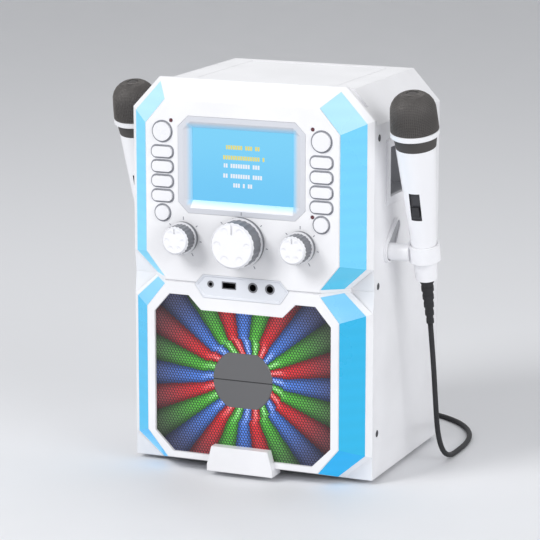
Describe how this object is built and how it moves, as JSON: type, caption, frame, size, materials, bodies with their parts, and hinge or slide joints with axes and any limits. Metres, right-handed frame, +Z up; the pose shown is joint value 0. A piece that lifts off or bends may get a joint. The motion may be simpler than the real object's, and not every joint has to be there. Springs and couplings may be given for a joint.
{
  "type": "karaoke machine",
  "caption": "Table-top karaoke machine with a screen, buttons, knobs, light strips, speaker, top disc player and microphones in side holders.",
  "frame": {"origin": "on the floor plane under the middle of the machine's box, cord left out", "axes": "+Z up, -Y out of the front face, +X to the right seen from the front"},
  "size_m": [0.3528, 0.3125, 0.368],
  "materials": {
    "white_plastic": "satin white",
    "button_plastic": "satin white",
    "light_strip": "lit blue diffuser",
    "screen": "clear lit window",
    "grey_plastic": "matte grey",
    "dark_plastic": "matte black",
    "grille_mesh": "black mesh",
    "board": "coated laminate",
    "lamp": "dark lens",
    "paper_cone": "pressed paper",
    "steel": "plain",
    "mic_metal": "dark mesh",
    "rubber": "matte black"
  },
  "bodies": {
    "cabinet": {"upper_front_panel": "white_plastic", "lower_front_frame": "white_plastic", "rear_shell": "white_plastic", "top_deck": "white_plastic", "grip_cups": "white_plastic", "mic_holders": "white_plastic", "light_strips": "light_strip", "screen_glass": "screen", "screen_bezel": "grey_plastic", "socket_plate": "grey_plastic", "disc_chassis": "grey_plastic", "light_baffle": "dark_plastic", "display_module": "dark_plastic", "rotary_controls": "dark_plastic", "speaker_basket": "dark_plastic", "rear_sockets": "dark_plastic", "front_sockets": "dark_plastic", "mic_cord_tie": "dark_plastic", "speaker_grille": "grille_mesh", "strip_lamp_boards": "board", "circuit_boards": "board", "indicator_lamps": "lamp", "speaker_magnet": "steel", "spindle_motor": "steel", "sled_rods": "steel", "lid_hinge_pins": "steel", "case_screws": "steel", "rubber_feet": "rubber", "mic_cord": "rubber", "mic_cord_coil": "rubber", "mic_cord_plug": "rubber"},
    "disc_lid": {"disc_lid": "white_plastic"},
    "turntable": {"turntable": "grey_plastic"},
    "laser_sled": {"laser_sled": "grey_plastic"},
    "sled_gear": {"sled_gear": "grey_plastic"},
    "speaker_cone": {"speaker_cone": "paper_cone"},
    "knob_left": {"knob_left": "white_plastic"},
    "knob_centre": {"knob_centre": "white_plastic"},
    "knob_right": {"knob_right": "white_plastic"},
    "mic_left": {"mic_left_handle": "white_plastic", "mic_left_head": "mic_metal", "mic_left_band": "white_plastic"},
    "mic_right": {"mic_right_handle": "white_plastic", "mic_right_head": "mic_metal", "mic_right_band": "white_plastic", "mic_cord_relief": "rubber"},
    "mic_left_switch": {"mic_left_switch": "dark_plastic"},
    "mic_right_switch": {"mic_right_switch": "dark_plastic"},
    "upper_button_left": {"upper_button_left": "button_plastic"},
    "upper_button_right": {"upper_button_right": "button_plastic"},
    "lower_button_left": {"lower_button_left": "button_plastic"},
    "lower_button_right": {"lower_button_right": "button_plastic"},
    "key_left_1": {"key_left_1": "button_plastic"},
    "key_left_2": {"key_left_2": "button_plastic"},
    "key_left_3": {"key_left_3": "button_plastic"},
    "key_left_4": {"key_left_4": "button_plastic"},
    "key_right_1": {"key_right_1": "button_plastic"},
    "key_right_2": {"key_right_2": "button_plastic"},
    "key_right_3": {"key_right_3": "button_plastic"},
    "key_right_4": {"key_right_4": "button_plastic"}
  },
  "joints": [
    {"name": "lid_hinge", "type": "hinge", "parent": "cabinet", "child": "disc_lid", "pos_m": [0, 0.097, 0.36115], "axis": [-1, 0, 0], "range_deg": [0, 75]},
    {"name": "turntable_spin", "type": "hinge", "parent": "cabinet", "child": "turntable", "pos_m": [0, 0.029, 0.345], "axis": [0, 0, 1], "continuous": true},
    {"name": "sled_slide", "type": "slide", "parent": "cabinet", "child": "laser_sled", "axis": [1, 0, 0], "range_m": [0, 0.03]},
    {"name": "gear_turn", "type": "hinge", "parent": "cabinet", "child": "sled_gear", "pos_m": [0.04, 0.0634, 0.338], "axis": [0, 0, 1], "range_deg": [0, 170]},
    {"name": "cone_stroke", "type": "slide", "parent": "cabinet", "child": "speaker_cone", "axis": [0, 1, 0], "range_m": [-0.0015, 0.0015], "stiffness_N_per_m": 1000},
    {"name": "upper_button_left_press", "type": "slide", "parent": "cabinet", "child": "upper_button_left", "axis": [0, 1, 0], "range_m": [0, 0.0012], "stiffness_N_per_m": 400},
    {"name": "upper_button_right_press", "type": "slide", "parent": "cabinet", "child": "upper_button_right", "axis": [0, 1, 0], "range_m": [0, 0.0012], "stiffness_N_per_m": 400},
    {"name": "lower_button_left_press", "type": "slide", "parent": "cabinet", "child": "lower_button_left", "axis": [0, 1, 0], "range_m": [0, 0.0012], "stiffness_N_per_m": 400},
    {"name": "lower_button_right_press", "type": "slide", "parent": "cabinet", "child": "lower_button_right", "axis": [0, 1, 0], "range_m": [0, 0.0012], "stiffness_N_per_m": 400},
    {"name": "key_left_1_press", "type": "slide", "parent": "cabinet", "child": "key_left_1", "axis": [0, 1, 0], "range_m": [0, 0.0012], "stiffness_N_per_m": 400},
    {"name": "key_left_2_press", "type": "slide", "parent": "cabinet", "child": "key_left_2", "axis": [0, 1, 0], "range_m": [0, 0.0012], "stiffness_N_per_m": 400},
    {"name": "key_left_3_press", "type": "slide", "parent": "cabinet", "child": "key_left_3", "axis": [0, 1, 0], "range_m": [0, 0.0012], "stiffness_N_per_m": 400},
    {"name": "key_left_4_press", "type": "slide", "parent": "cabinet", "child": "key_left_4", "axis": [0, 1, 0], "range_m": [0, 0.0012], "stiffness_N_per_m": 400},
    {"name": "key_right_1_press", "type": "slide", "parent": "cabinet", "child": "key_right_1", "axis": [0, 1, 0], "range_m": [0, 0.0012], "stiffness_N_per_m": 400},
    {"name": "key_right_2_press", "type": "slide", "parent": "cabinet", "child": "key_right_2", "axis": [0, 1, 0], "range_m": [0, 0.0012], "stiffness_N_per_m": 400},
    {"name": "key_right_3_press", "type": "slide", "parent": "cabinet", "child": "key_right_3", "axis": [0, 1, 0], "range_m": [0, 0.0012], "stiffness_N_per_m": 400},
    {"name": "key_right_4_press", "type": "slide", "parent": "cabinet", "child": "key_right_4", "axis": [0, 1, 0], "range_m": [0, 0.0012], "stiffness_N_per_m": 400},
    {"name": "knob_left_turn", "type": "hinge", "parent": "cabinet", "child": "knob_left", "pos_m": [-0.0581, -0.089, 0.2237], "axis": [0, 1, 0], "range_deg": [-150, 150]},
    {"name": "knob_centre_turn", "type": "hinge", "parent": "cabinet", "child": "knob_centre", "pos_m": [0, -0.089, 0.2237], "axis": [0, 1, 0], "range_deg": [-150, 150]},
    {"name": "knob_right_turn", "type": "hinge", "parent": "cabinet", "child": "knob_right", "pos_m": [0.0581, -0.089, 0.2237], "axis": [0, 1, 0], "range_deg": [-150, 150]},
    {"name": "mic_left_lift", "type": "slide", "parent": "cabinet", "child": "mic_left", "axis": [0, -0.2504, 0.9681], "range_m": [0, 0.06]},
    {"name": "mic_left_switch_slide", "type": "slide", "parent": "mic_left", "child": "mic_left_switch", "axis": [0, -0.2504, 0.9681], "range_m": [0, 0.008]},
    {"name": "mic_right_lift", "type": "slide", "parent": "cabinet", "child": "mic_right", "axis": [0, -0.2504, 0.9681], "range_m": [0, 0.06]},
    {"name": "mic_right_switch_slide", "type": "slide", "parent": "mic_right", "child": "mic_right_switch", "axis": [0, -0.2504, 0.9681], "range_m": [0, 0.008]}
  ],
  "couplings": [
    {"joint": "gear_turn", "follows": "sled_slide", "rad_per_m": 98.04}
  ]
}
